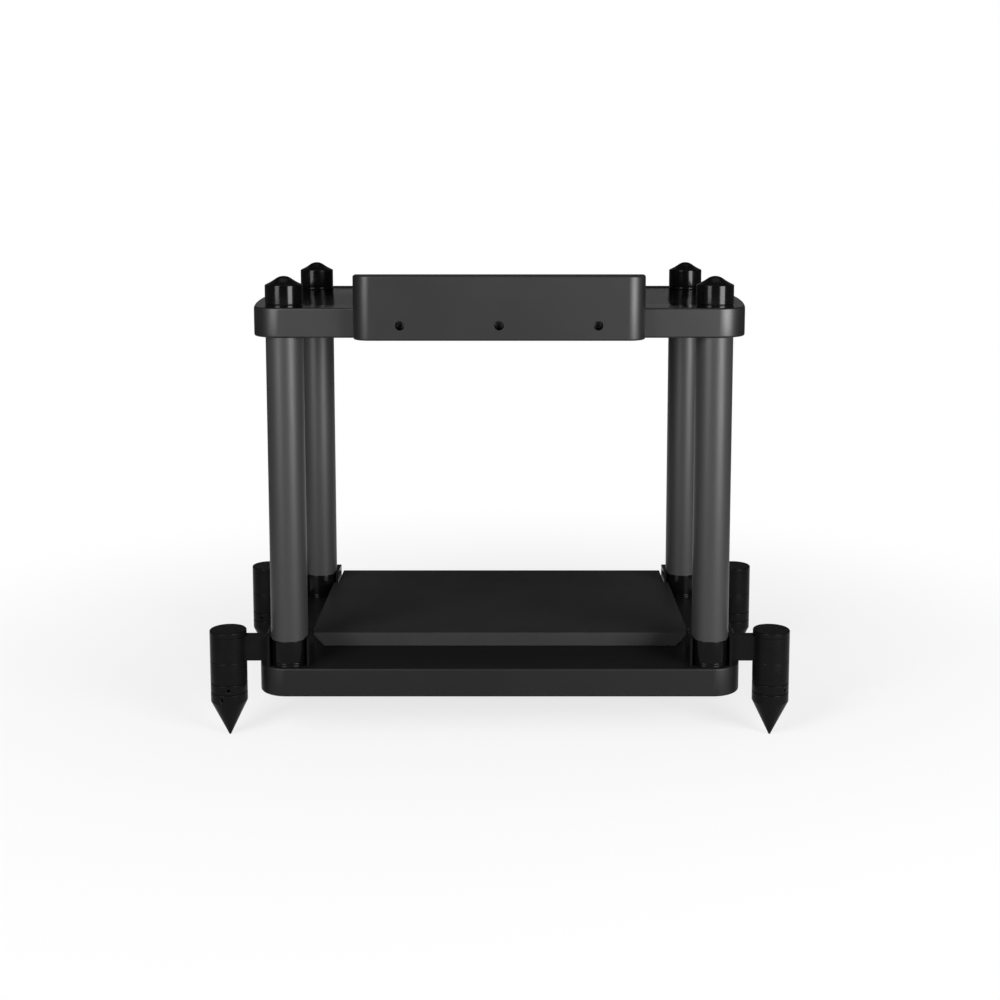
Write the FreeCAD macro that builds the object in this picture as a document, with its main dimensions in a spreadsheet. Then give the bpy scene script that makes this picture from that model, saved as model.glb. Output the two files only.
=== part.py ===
"""Two-shelf speaker stand on four outrigger feet with adjustable spikes.

Millimetres, +Z up, +X to the right, the front faces -Y.
The origin is on the floor, under the middle of the whole stand's outline.

Two lacquered boards with bowed ends are clamped between four tubular posts by long tie rods.
A cap nut closes the top of each rod and a hex nut, sunk under the base board, closes the bottom.
Each post stands on a short collar, and an outrigger's open yoke is screwed to that collar from behind.
The outrigger carries a foot: a jack screw whose ring is turned to lower or raise its spike.
A block along the front edge of the top board stops what stands on it from sliding off.
"""

import FreeCAD, Part
import math
import os
import Sketcher

VECTOR = FreeCAD.Vector
UP = VECTOR(0, 0, 1)

# name, value in millimetres, or in degrees where the name ends in _angle
SIZE_TABLE = [
    # the two boards
    ("board_width", 520.0),
    ("board_depth", 320.0),
    ("board_thick", 30.0),
    ("side_bow", 15.0),
    ("corner_radius", 30.0),
    ("edge_round", 2.0),
    ("edge_bevel", 1.0),
    # posts, tie rods and cap nuts
    ("post_end_inset", 42.0),
    ("post_front_margin", 1.5),
    ("post_rear_inset", 44.5),
    ("post_diameter", 38.0),
    ("tube_length", 314.0),
    ("tube_wall", 3.0),
    ("collar_height", 27.5),
    ("collar_groove", 1.0),
    ("groove_depth", 0.6),
    ("rod_diameter", 8.0),
    ("rod_clearance", 0.3),
    ("cap_diameter", 38.0),
    ("cap_shoulder", 22.0),
    ("cap_height", 31.5),
    ("cap_seat_depth", 0.5),
    ("cap_seat_clearance", 0.25),
    ("cap_crown_radius", 8.0),
    ("cap_crown_rise", 2.6),
    ("cap_thread_depth", 18.0),
    ("nut_across_flats", 13.0),
    ("nut_height", 6.5),
    ("washer_diameter", 20.0),
    ("washer_thick", 1.6),
    ("nut_recess_depth", 14.0),
    ("nut_recess_clearance", 2.0),
    # the shelf board that lies on the base board
    ("shelf_end_setback", 59.0),
    ("shelf_thick", 18.0),
    ("shelf_front_setback", 64.5),
    ("shelf_rear_setback", 3.0),
    ("shelf_undercut", 11.5),
    ("shelf_clearance", 0.75),
    ("shelf_screw_diameter", 4.0),
    ("shelf_screw_head", 8.0),
    ("shelf_screw_bite", 12.0),
    ("shelf_screw_inset_x", 60.0),
    ("shelf_screw_inset_y", 70.0),
    # the front block and its three screws
    ("block_width", 290.0),
    ("block_depth", 28.0),
    ("block_rise", 34.0),
    ("block_corner_radius", 18.0),
    ("block_screw_spacing", 97.5),
    ("block_screw_diameter", 5.0),
    ("block_screw_head", 8.5),
    ("block_screw_head_height", 5.0),
    ("block_screw_bite", 13.0),
    ("block_screw_socket", 4.0),
    ("block_hole_diameter", 9.4),
    ("block_hole_depth", 16.0),
    ("insert_diameter", 8.0),
    ("insert_length", 14.0),
    # outriggers
    ("foot_reach", 64.0),
    ("arm_thick", 12.0),
    ("arm_lift", 3.8),
    ("barrel_height", 26.0),
    ("barrel_bore", 20.0),
    ("yoke_cheek", 2.5),
    ("cheek_setback", 6.0),
    ("yoke_spine", 5.75),
    ("yoke_clearance", 0.25),
    ("clamp_screw_diameter", 5.0),
    ("clamp_screw_head", 8.5),
    ("clamp_screw_head_height", 5.0),
    ("clamp_screw_gap", 2.7),
    ("clamp_screw_socket", 4.0),
    ("clamp_screw_pitch", 13.0),
    # feet
    ("foot_diameter", 38.0),
    ("foot_cap_height", 6.0),
    ("foot_edge_round", 0.8),
    ("foot_cap_spigot_height", 4.5),
    ("sleeve_height", 23.2),
    ("sleeve_spigot_height", 8.0),
    ("ring_height", 9.9),
    ("spike_head_height", 9.8),
    ("spike_cone_height", 37.5),
    ("spike_tip_diameter", 1.5),
    ("shank_diameter", 14.0),
    ("shank_headroom", 4.2),
    ("spike_travel", 10.0),
    ("guide_diameter", 4.0),
    ("guide_slot_clearance", 0.1),
    ("guide_slot_depth", 2.5),
    ("guide_sink", 0.5),
    ("running_clearance", 0.05),
    ("joint_gap", 0.3),
    ("tommy_diameter", 3.5),
    ("tommy_depth", 6.0),
]

# where the tommy-bar holes face at each foot, in degrees round from the front towards +X
TOMMY_ANGLES = {
    "front_left": {"ring": 9.0, "spike": -14.0},
    "front_right": {"ring": 42.0, "spike": 125.0},
    "rear_left": {"ring": -20.0, "spike": 160.0},
    "rear_right": {"ring": 100.0, "spike": -150.0},
}


class Size:
    """A length that carries its number and the spreadsheet expression that gives it."""

    def __init__(self, value, text):
        self.value = float(value)
        self.text = text

    def combine(self, other, sign, value):
        text = other.text if isinstance(other, Size) else repr(other)
        return Size(value, "(%s %s %s)" % (self.text, sign, text))

    def __add__(self, other):
        return self.combine(other, "+", self.value + number(other))

    def __sub__(self, other):
        return self.combine(other, "-", self.value - number(other))

    def __mul__(self, other):
        return self.combine(other, "*", self.value * number(other))

    def __truediv__(self, other):
        return self.combine(other, "/", self.value / number(other))

    def __neg__(self):
        return Size(-self.value, "(0 - %s)" % self.text)


def number(size):
    return size.value if isinstance(size, Size) else float(size)


class Sizes:
    """The driving dimensions, read as attributes: S.board_width and so on."""

    def __init__(self, table):
        for name, value in table:
            setattr(self, name, Size(value, "Sizes.%s" % name))


S = Sizes(SIZE_TABLE)
ZERO = Size(0.0, "0")

# places worked out from the driving dimensions, measured from the floor or the origin
FOOT_BASE_TOP = S.spike_cone_height + S.spike_head_height + S.joint_gap + S.ring_height
SLEEVE_BOTTOM = FOOT_BASE_TOP + S.joint_gap
BARREL_BOTTOM = SLEEVE_BOTTOM + S.sleeve_height
BARREL_TOP = BARREL_BOTTOM + S.barrel_height
RING_BOTTOM = S.spike_cone_height + S.spike_head_height + S.joint_gap
GUIDE_HEIGHT = SLEEVE_BOTTOM + S.sleeve_height / 2
BASE_TOP = BARREL_BOTTOM - S.arm_lift
BASE_BOTTOM = BASE_TOP - S.board_thick
TUBE_BOTTOM = BASE_TOP + S.collar_height
TOP_BOTTOM = TUBE_BOTTOM + S.tube_length
TOP_TOP = TOP_BOTTOM + S.board_thick
FRONT_Y = -((S.board_depth - S.block_depth) / 2)
POST_X = S.board_width / 2 - S.post_end_inset
POST_FRONT_Y = FRONT_Y + S.post_diameter / 2 + S.post_front_margin
POST_REAR_Y = FRONT_Y + S.board_depth - S.post_rear_inset
FOOT_X = POST_X + S.foot_reach
SHELF_X = S.board_width / 2 - S.shelf_end_setback
COLLAR_BAY = S.post_diameter / 2 + S.yoke_clearance
YOKE_HALF = COLLAR_BAY + S.yoke_cheek
YOKE_BACK = COLLAR_BAY + S.yoke_spine
YOKE_FRONT = S.post_diameter / 2 - S.cheek_setback
# a clamp screw stops short of the tie rod's hole
CLAMP_BITE = S.post_diameter / 2 - S.rod_diameter / 2 - S.rod_clearance - S.clamp_screw_gap

CORNERS = {
    "front_left": (-POST_X, POST_FRONT_Y),
    "front_right": (POST_X, POST_FRONT_Y),
    "rear_left": (-POST_X, POST_REAR_Y),
    "rear_right": (POST_X, POST_REAR_Y),
}
FEET = {
    "front_left": (-FOOT_X, POST_FRONT_Y),
    "front_right": (FOOT_X, POST_FRONT_Y),
    "rear_left": (-FOOT_X, POST_REAR_Y),
    "rear_right": (FOOT_X, POST_REAR_Y),
}

doc = FreeCAD.newDocument("SpeakerStand")
NODES = []


def make_sheet():
    sheet = doc.addObject("Spreadsheet::Sheet", "Sizes")
    for row, (name, value) in enumerate(SIZE_TABLE, start=1):
        sheet.set("A%d" % row, name)
        sheet.set("B%d" % row, repr(value))
        sheet.setAlias("B%d" % row, name)
    doc.recompute()


# ---------------------------------------------------------------- sketch and feature helpers


def new_body(label):
    body = doc.addObject("PartDesign::Body", label)
    body.Label = label
    NODES.append(body)
    return body


def new_sketch(body, name, role="XY_Plane", height=None):
    """A sketch on one of the body's own origin planes, lifted by height along that plane's normal."""
    plane = next(f for f in body.Origin.OriginFeatures if f.Role == role)
    sketch = body.newObject("Sketcher::SketchObject", "%s_%s" % (body.Name, name))
    sketch.AttachmentSupport = [(plane, "")]
    sketch.MapMode = "FlatFace"
    if height is not None:
        sketch.setExpression("AttachmentOffset.Base.z", height.text)
    return sketch


def pin(sketch, geo, pos, x, y):
    """Holds a point of the sketch at x, y from its origin."""
    for kind, place, axis in (("DistanceX", x, -2), ("DistanceY", y, -1)):
        if place.value == 0.0:
            sketch.addConstraint(Sketcher.Constraint("PointOnObject", geo, pos, axis))
            continue
        if place.value > 0.0:
            index = sketch.addConstraint(Sketcher.Constraint(kind, -1, 1, geo, pos, place.value))
            text = place.text
        else:
            index = sketch.addConstraint(Sketcher.Constraint(kind, geo, pos, -1, 1, -place.value))
            text = (-place).text
        sketch.setExpression("Constraints[%d]" % index, text)


def arc_through(start, end, radius):
    """The arc of that radius from start to end that bulges to the right of the way from one to the other."""
    chord = end - start
    middle = (start + end) * 0.5
    right = VECTOR(chord.y, -chord.x, 0).normalize()
    rise = math.sqrt(radius * radius - (chord.Length / 2) ** 2)
    centre = middle - right * rise
    return Part.Arc(start, centre + right * radius, end)


def outline(sketch, corners, arcs=()):
    """A closed outline through the corners, in order. arcs gives {index: radius} for sides that bulge outward."""
    arcs = dict(arcs)
    places = [VECTOR(x.value, y.value, 0) for x, y in corners]
    ends = []
    for index, start in enumerate(places):
        finish = places[(index + 1) % len(places)]
        if index in arcs:
            arc = arc_through(start, finish, arcs[index].value)
            geo = sketch.addGeometry(arc, False)
            shape = sketch.Geometry[geo]
            forward = (shape.StartPoint - start).Length < (shape.EndPoint - start).Length
            ends.append((geo, 1, 2) if forward else (geo, 2, 1))
        else:
            geo = sketch.addGeometry(Part.LineSegment(start, finish), False)
            ends.append((geo, 1, 2))
    for index, (geo, first, last) in enumerate(ends):
        following = ends[(index + 1) % len(ends)]
        sketch.addConstraint(Sketcher.Constraint("Coincident", geo, last, following[0], following[1]))
        pin(sketch, geo, first, *corners[index])
        if index in arcs:
            radius = sketch.addConstraint(Sketcher.Constraint("Radius", geo, arcs[index].value))
            sketch.setExpression("Constraints[%d]" % radius, arcs[index].text)


def circles(sketch, centres, diameter):
    for x, y in centres:
        geo = sketch.addGeometry(Part.Circle(VECTOR(x.value, y.value, 0), UP, diameter.value / 2), False)
        pin(sketch, geo, 3, x, y)
        index = sketch.addConstraint(Sketcher.Constraint("Diameter", geo, diameter.value))
        sketch.setExpression("Constraints[%d]" % index, diameter.text)


def feature(body, kind, name, sketch, **settings):
    made = body.newObject("PartDesign::%s" % kind, "%s_%s" % (body.Name, name))
    made.Profile = sketch
    sketch.Visibility = False
    for key, value in settings.items():
        if isinstance(value, Size):
            made.setExpression(key, value.text)
        else:
            setattr(made, key, value)
    body.Tip = made
    doc.recompute()
    return made


def pad(body, name, sketch, length):
    return feature(body, "Pad", name, sketch, Length=length)


def pocket(body, name, sketch, length, reverse=False):
    """Cuts the sketch into the body by length and stops if nothing was taken away."""
    before = body.Shape.Volume
    made = feature(body, "Pocket", name, sketch, Length=length, Reversed=reverse)
    if body.Shape.Volume > before - 1e-3:
        raise RuntimeError("%s %s cuts nothing" % (body.Label, name))
    return made


def turned(label, profile):
    """A round piece: the closed profile of (radius, height) pairs, turned about the body's own Z axis."""
    body = new_body(label)
    sketch = new_sketch(body, "profile", "XZ_Plane")
    outline(sketch, profile)
    feature(body, "Revolution", "turn", sketch, ReferenceAxis=(sketch, ["V_Axis"]), Angle=360.0)
    return body


def place(body, x, y, z, angle=0.0):
    body.Placement = FreeCAD.Placement(VECTOR(0, 0, 0), FreeCAD.Rotation(UP, angle))
    for axis, value in zip("xyz", (x, y, z)):
        body.setExpression("Placement.Base.%s" % axis, value.text)


def edge_names(shape, wanted):
    return ["Edge%d" % (i + 1) for i, edge in enumerate(shape.Edges) if wanted(edge)]


def dress_edges(body, name, wanted, kind, setting, size):
    names = edge_names(body.Shape, wanted)
    if not names:
        raise RuntimeError("%s has no edge for %s" % (body.Label, name))
    base = body.Tip
    made = body.newObject("PartDesign::%s" % kind, "%s_%s" % (body.Name, name))
    made.Base = (base, names)
    made.setExpression(setting, size.text)
    body.Tip = made
    doc.recompute()
    return made


def round_edges(body, name, wanted, radius):
    return dress_edges(body, name, wanted, "Fillet", "Radius", radius)


def bevel_edges(body, name, wanted, size):
    return dress_edges(body, name, wanted, "Chamfer", "Size", size)


def upright(edge):
    """True for a straight edge along Z."""
    box = edge.BoundBox
    return box.ZLength > 1.0 and box.XLength < 1e-4 and box.YLength < 1e-4


def level_at(height):
    """A test for edges that lie flat at one height of the body."""
    return lambda edge: abs(edge.BoundBox.ZMin - height) < 1e-4 and abs(edge.BoundBox.ZMax - height) < 1e-4


# ---------------------------------------------------------------- boards


def bow_radius():
    """The radius of the arc that bows out by side_bow over the board's depth."""
    half = S.board_depth / 2
    return (half * half + S.side_bow * S.side_bow) / (S.side_bow * 2)


def bowed_board(label, bottom):
    """A board with straight front and rear edges, bowed ends, round corners and eased edges."""
    body = new_body(label)
    sketch = new_sketch(body, "outline")
    corner_x = S.board_width / 2 - S.side_bow
    back_y = FRONT_Y + S.board_depth
    corners = [(-corner_x, FRONT_Y), (corner_x, FRONT_Y), (corner_x, back_y), (-corner_x, back_y)]
    outline(sketch, corners, {1: bow_radius(), 3: bow_radius()})
    pad(body, "slab", sketch, S.board_thick)
    round_edges(body, "corners", upright, S.corner_radius)
    round_edges(body, "upper_edge", level_at(S.board_thick.value), S.edge_round)
    bevel_edges(body, "lower_edge", level_at(0.0), S.edge_bevel)
    place(body, ZERO, ZERO, bottom)
    return body


def block_screw_places(height):
    return [(-S.block_screw_spacing, height), (ZERO, height), (S.block_screw_spacing, height)]


def top_board():
    body = bowed_board("top_board", TOP_BOTTOM)
    rods = new_sketch(body, "rod_holes")
    circles(rods, CORNERS.values(), S.rod_diameter + S.rod_clearance * 2)
    pocket(body, "rods", rods, S.board_thick, reverse=True)
    # a shallow spot face for each cap nut, so that the nut's rim doesn't bite the lacquer
    seats = new_sketch(body, "cap_seats", height=S.board_thick)
    circles(seats, CORNERS.values(), S.cap_diameter + S.cap_seat_clearance * 2)
    pocket(body, "seats", seats, S.cap_seat_depth)
    inserts = new_sketch(body, "insert_holes", "XZ_Plane", -FRONT_Y)
    circles(inserts, block_screw_places(S.board_thick / 2), S.insert_diameter)
    pocket(body, "inserts", inserts, S.insert_length)


def shelf_screw_places():
    x = SHELF_X - S.shelf_screw_inset_x
    front = FRONT_Y + S.shelf_front_setback + S.shelf_screw_inset_y
    back = FRONT_Y + S.board_depth - S.shelf_rear_setback - S.shelf_screw_inset_y
    return [(-x, front), (x, front), (-x, back), (x, back)]


def base_board():
    body = bowed_board("base_board", BASE_BOTTOM)
    rods = new_sketch(body, "rod_holes")
    circles(rods, CORNERS.values(), S.rod_diameter + S.rod_clearance * 2)
    pocket(body, "rods", rods, S.board_thick, reverse=True)
    recesses = new_sketch(body, "nut_recesses")
    circles(recesses, CORNERS.values(), S.washer_diameter + S.nut_recess_clearance)
    pocket(body, "recesses", recesses, S.nut_recess_depth, reverse=True)
    screws = new_sketch(body, "screw_holes")
    circles(screws, shelf_screw_places(), S.shelf_screw_diameter)
    pocket(body, "screws", screws, S.board_thick, reverse=True)
    heads = new_sketch(body, "screw_heads")
    circles(heads, shelf_screw_places(), S.shelf_screw_head)
    pocket(body, "heads", heads, S.shelf_screw_head / 2, reverse=True)


def shelf_outline(sketch, inset):
    x = SHELF_X - inset
    front = FRONT_Y + S.shelf_front_setback + inset
    back = FRONT_Y + S.board_depth - S.shelf_rear_setback
    outline(sketch, [(-x, front), (x, front), (x, back), (-x, back)])


def shelf_board():
    """The raised shelf: its front and both ends slope in underneath and meet in a mitre at the front corners."""
    body = new_body("shelf_board")
    lower = new_sketch(body, "lower")
    shelf_outline(lower, S.shelf_undercut)
    upper = new_sketch(body, "upper", height=S.shelf_thick)
    shelf_outline(upper, ZERO)
    feature(body, "AdditiveLoft", "slab", lower, Sections=[upper], Ruled=True)
    # the rear corners step in to pass the rear yokes
    notches = new_sketch(body, "yoke_notches")
    inner = POST_X - YOKE_HALF - S.shelf_clearance
    outer = SHELF_X + S.shelf_clearance
    front = POST_REAR_Y - YOKE_FRONT - S.shelf_clearance
    back = FRONT_Y + S.board_depth
    outline(notches, [(inner, front), (outer, front), (outer, back), (inner, back)])
    outline(notches, [(-outer, front), (-inner, front), (-inner, back), (-outer, back)])
    pocket(body, "notches", notches, S.shelf_thick, reverse=True)
    screws = new_sketch(body, "screw_holes")
    circles(screws, shelf_screw_places(), S.shelf_screw_diameter)
    pocket(body, "screws", screws, S.shelf_screw_bite, reverse=True)
    place(body, ZERO, ZERO, BASE_TOP)


def front_block():
    """The stop block, its front corners rounded in plan, with three counterbored screw holes."""
    body = new_body("front_block")
    sketch = new_sketch(body, "outline")
    x = S.block_width / 2
    front = FRONT_Y - S.block_depth
    outline(sketch, [(-x, front), (x, front), (x, FRONT_Y), (-x, FRONT_Y)])
    pad(body, "slab", sketch, S.board_thick + S.block_rise)
    front_edges = lambda edge: upright(edge) and abs(edge.BoundBox.YMin - front.value) < 1e-4
    round_edges(body, "corners", front_edges, S.block_corner_radius)
    rim = lambda height: lambda edge: level_at(height.value)(edge) and edge.BoundBox.YMin < FRONT_Y.value - 1e-3
    round_edges(body, "upper_rim", rim(S.board_thick + S.block_rise), S.edge_round)
    bevel_edges(body, "lower_rim", rim(ZERO), S.edge_bevel)
    counterbores = new_sketch(body, "counterbores", "XZ_Plane", -front)
    circles(counterbores, block_screw_places(S.board_thick / 2), S.block_hole_diameter)
    pocket(body, "heads", counterbores, S.block_hole_depth)
    shanks = new_sketch(body, "shank_holes", "XZ_Plane", -front)
    circles(shanks, block_screw_places(S.board_thick / 2), S.block_screw_diameter + S.rod_clearance)
    pocket(body, "shanks", shanks, S.block_depth)
    place(body, ZERO, ZERO, TOP_BOTTOM)


# ---------------------------------------------------------------- posts


def post_tube(corner):
    outer = S.post_diameter / 2
    bore = outer - S.tube_wall
    body = turned(corner + "_post_tube", [
        (bore, ZERO), (outer, ZERO), (outer, S.tube_length), (bore, S.tube_length),
    ])
    place(body, *CORNERS[corner], TUBE_BOTTOM)


def post_collar(corner):
    """A collar as wide as the post, two fine V grooves round its foot, bored for the rod and the clamp screws."""
    outer = S.post_diameter / 2
    waist = outer - S.groove_depth
    bore = S.rod_diameter / 2 + S.rod_clearance
    land = S.collar_groove * 1.5
    profile = [(bore, ZERO), (outer, ZERO), (outer, land)]
    height = land
    for groove in range(2):
        profile += [(waist, height + S.collar_groove / 2), (outer, height + S.collar_groove)]
        height = height + S.collar_groove + land
        profile += [(outer, height)] if groove == 0 else []
    profile += [(outer, S.collar_height), (bore, S.collar_height)]
    body = turned(corner + "_post_collar", profile)
    screws = new_sketch(body, "clamp_holes", "XZ_Plane")
    circles(screws, clamp_screw_places(), S.clamp_screw_diameter)
    pocket(body, "clamps", screws, outer)
    place(body, *CORNERS[corner], BASE_TOP)


def tie_rod(corner):
    """The rod runs from below the base board's nut to the bottom of the cap nut's thread."""
    radius = S.rod_diameter / 2
    start = BASE_BOTTOM + S.nut_recess_depth - S.washer_thick - S.nut_height - S.washer_thick
    length = TOP_TOP - S.cap_seat_depth + S.cap_thread_depth - S.joint_gap - start
    body = turned(corner + "_tie_rod", [(ZERO, ZERO), (radius, ZERO), (radius, length), (ZERO, length)])
    place(body, *CORNERS[corner], start)


def cap_nut(corner):
    """A round nut with a shallow crown; a fine V groove runs round it just above the board."""
    body = new_body(corner + "_cap_nut")
    sketch = new_sketch(body, "profile", "XZ_Plane")
    outer = S.cap_diameter / 2
    bore = S.rod_diameter / 2
    waist = outer - S.groove_depth
    groove = S.collar_groove
    crown_height = S.cap_height - S.cap_crown_rise
    crown_radius = (
        S.cap_crown_radius * S.cap_crown_radius + S.cap_crown_rise * S.cap_crown_rise
    ) / (S.cap_crown_rise * 2)
    corners = [
        (bore, ZERO), (outer, ZERO), (outer, groove * 2), (waist, groove * 2.5), (outer, groove * 3),
        (outer, S.cap_shoulder), (outer - groove, S.cap_shoulder + groove),
        (S.cap_crown_radius, crown_height), (ZERO, S.cap_height),
        (ZERO, S.cap_thread_depth), (bore, S.cap_thread_depth),
    ]
    outline(sketch, corners, {7: crown_radius})
    feature(body, "Revolution", "turn", sketch, ReferenceAxis=(sketch, ["V_Axis"]), Angle=360.0)
    place(body, *CORNERS[corner], TOP_TOP - S.cap_seat_depth)


# ---------------------------------------------------------------- outriggers


def clamp_screw_places():
    """The two clamp screws lie one above the other, centred on the arm's height above the base board."""
    middle = S.arm_lift + S.barrel_height / 2 - S.arm_lift / 2
    return [(ZERO, middle - S.clamp_screw_pitch / 2), (ZERO, middle + S.clamp_screw_pitch / 2)]


def outrigger(corner):
    """Yoke, arm and foot barrel in one piece. It is drawn with its arm along +X; a left one is turned half round,
    so its yoke opens the other way when drawn, and every yoke ends up open at the front."""
    left = corner.endswith("left")
    body = new_body(corner + "_outrigger")
    front, back = YOKE_FRONT, YOKE_BACK
    ends = (-back, front) if left else (-front, back)
    half = YOKE_HALF
    height = S.arm_lift + S.barrel_height
    block = new_sketch(body, "yoke_outline")
    outline(block, [(-half, ends[0]), (half, ends[0]), (half, ends[1]), (-half, ends[1])])
    pad(body, "yoke", block, height)

    arm = new_sketch(body, "arm_outline", height=S.arm_lift)
    outline(arm, [
        (half - S.yoke_clearance, -(S.arm_thick / 2)), (S.foot_reach, -(S.arm_thick / 2)),
        (S.foot_reach, S.arm_thick / 2), (half - S.yoke_clearance, S.arm_thick / 2),
    ])
    pad(body, "arm", arm, S.barrel_height)
    barrel = new_sketch(body, "barrel_outline", height=S.arm_lift)
    circles(barrel, [(S.foot_reach, ZERO)], S.foot_diameter)
    pad(body, "barrel", barrel, S.barrel_height)

    bay = COLLAR_BAY
    seat = new_sketch(body, "collar_seat")
    circles(seat, [(ZERO, ZERO)], bay * 2)
    pocket(body, "seat", seat, height, reverse=True)
    mouth = new_sketch(body, "yoke_mouth")
    far = front + S.yoke_clearance
    span = (ZERO, far) if left else (-far, ZERO)
    outline(mouth, [(-bay, span[0]), (bay, span[0]), (bay, span[1]), (-bay, span[1])])
    pocket(body, "mouth", mouth, height, reverse=True)

    # one bore right through the barrel takes the sleeve's spigot from below and the cap's from above
    bore = new_sketch(body, "barrel_bore")
    circles(bore, [(S.foot_reach, ZERO)], S.barrel_bore)
    pocket(body, "barrel_bore_cut", bore, height, reverse=True)

    screws = new_sketch(body, "clamp_holes", "XZ_Plane")
    circles(screws, clamp_screw_places(), S.clamp_screw_diameter + S.rod_clearance)
    pocket(body, "clamps", screws, back, reverse=left)
    place(body, *CORNERS[corner], BASE_TOP, 180.0 if left else 0.0)


# ---------------------------------------------------------------- feet


def foot_cap(corner):
    """The disc that closes the barrel, its spigot pressed into the barrel's mouth."""
    outer = S.foot_diameter / 2
    spigot = S.barrel_bore / 2
    ease = S.foot_edge_round
    base = S.foot_cap_spigot_height
    top = base + S.foot_cap_height
    body = turned(corner + "_foot_cap", [
        (ZERO, ZERO), (spigot, ZERO), (spigot, base), (outer, base), (outer, top - ease), (outer - ease, top),
        (ZERO, top),
    ])
    place(body, *FEET[corner], BARREL_TOP - S.foot_cap_spigot_height)


def foot_sleeve(corner):
    """The sleeve under the barrel guides the spike's shank."""
    outer = S.foot_diameter / 2
    bore = S.shank_diameter / 2 + S.running_clearance
    spigot = S.barrel_bore / 2
    top = S.sleeve_height
    body = turned(corner + "_foot_sleeve", [
        (bore, ZERO), (outer, ZERO), (outer, top), (spigot, top), (spigot, top + S.sleeve_spigot_height),
        (bore, top + S.sleeve_spigot_height),
    ])
    guide = new_sketch(body, "guide_hole", "XZ_Plane")
    circles(guide, [(ZERO, top / 2)], S.guide_diameter)
    pocket(body, "guide_cut", guide, outer + S.joint_gap)
    place(body, *FEET[corner], SLEEVE_BOTTOM)


def tommy_hole(body, height, angle):
    """One blind radial hole for a tommy bar, facing angle degrees round from -Y towards +X."""
    hole = new_sketch(body, "tommy", "XZ_Plane")
    hole.AttachmentOffset = FreeCAD.Placement(VECTOR(0, 0, 0), FreeCAD.Rotation(VECTOR(0, 1, 0), angle))
    reach = (S.foot_diameter / 2).text
    hole.setExpression("AttachmentOffset.Base.x", "%s * sin(%s deg)" % (reach, angle))
    hole.setExpression("AttachmentOffset.Base.z", "%s * cos(%s deg)" % (reach, angle))
    circles(hole, [(ZERO, height)], S.tommy_diameter)
    pocket(body, "tommy_cut", hole, S.tommy_depth)


def jack_ring(corner):
    """The ring bears on the sleeve and is threaded on the shank: turning it lowers or raises the spike."""
    outer = S.foot_diameter / 2
    bore = S.shank_diameter / 2 + S.running_clearance
    top = S.ring_height
    body = turned(corner + "_jack_ring", [(bore, ZERO), (outer, ZERO), (outer, top), (bore, top)])
    tommy_hole(body, top / 2, TOMMY_ANGLES[corner]["ring"])
    place(body, *FEET[corner], RING_BOTTOM)


def spike(corner):
    """Cone, head and threaded shank in one turned piece; the point is blunted by a small flat.
    A slot along the back of the shank takes the guide screw's end, which stops it turning or dropping out."""
    outer = S.foot_diameter / 2
    shank = S.shank_diameter / 2
    cone = S.spike_cone_height
    head = cone + S.spike_head_height
    top = BARREL_TOP - S.foot_cap_spigot_height - S.shank_headroom
    body = turned(corner + "_spike", [
        (ZERO, ZERO), (S.spike_tip_diameter / 2, ZERO), (outer, cone), (outer, head), (shank, head), (shank, top),
        (ZERO, top),
    ])
    tommy_hole(body, cone + S.spike_head_height / 2, TOMMY_ANGLES[corner]["spike"])
    slot = new_sketch(body, "guide_slot", "XZ_Plane", -shank)
    half = S.guide_diameter / 2 + S.guide_slot_clearance
    low = GUIDE_HEIGHT - half
    high = GUIDE_HEIGHT + half + S.spike_travel
    outline(slot, [(-half, low), (half, low), (half, high), (-half, high)])
    pocket(body, "guide_slot_cut", slot, S.guide_slot_depth, reverse=True)
    place(body, *FEET[corner], ZERO)


# ---------------------------------------------------------------- fasteners, one node for each kind


def socket_screw(head_radius, head_height, radius, length, socket, outward):
    """A socket screw's solid along outward, its head's underside at the origin and its tip at -length."""
    head = Part.makeCylinder(head_radius, head_height)
    shank = Part.makeCylinder(radius, length, VECTOR(0, 0, -length))
    hexagon = Part.makePolygon([
        VECTOR(socket / math.sqrt(3) * math.cos(k * math.pi / 3), socket / math.sqrt(3) * math.sin(k * math.pi / 3), 0)
        for k in range(7)
    ])
    depth = head_height * 0.6
    recess = Part.Face(hexagon).extrude(VECTOR(0, 0, depth))
    recess.translate(VECTOR(0, 0, head_height - depth))
    solid = head.fuse(shank).cut(recess).removeSplitter()
    solid.Placement = FreeCAD.Placement(VECTOR(0, 0, 0), FreeCAD.Rotation(UP, outward))
    return solid


def group(label, solids):
    """Identical fasteners as one node: separate solids in one compound."""
    node = doc.addObject("Part::Feature", label)
    node.Label = label
    node.Shape = Part.makeCompound(solids)
    NODES.append(node)


def at(solid, x, y, z):
    copy = solid.copy()
    copy.Placement = FreeCAD.Placement(VECTOR(number(x), number(y), number(z)), solid.Placement.Rotation)
    return copy


def block_fasteners():
    screw = socket_screw(
        S.block_screw_head.value / 2, S.block_screw_head_height.value, S.block_screw_diameter.value / 2,
        (S.block_depth - S.block_hole_depth + S.block_screw_bite).value, S.block_screw_socket.value,
        VECTOR(0, -1, 0))
    seat = FRONT_Y - S.block_depth + S.block_hole_depth
    height = TOP_BOTTOM + S.board_thick / 2
    places = [x for x, _ in block_screw_places(ZERO)]
    group("block_screws", [at(screw, x, seat, height) for x in places])
    # an insert starts flush with the board's front edge
    inner = S.block_screw_diameter.value / 2
    blank = Part.makeCylinder(S.insert_diameter.value / 2, S.insert_length.value)
    insert = blank.cut(Part.makeCylinder(inner, S.insert_length.value))
    insert.Placement = FreeCAD.Placement(VECTOR(0, 0, 0), FreeCAD.Rotation(UP, VECTOR(0, 1, 0)))
    group("block_inserts", [at(insert, x, FRONT_Y, height) for x in places])


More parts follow.
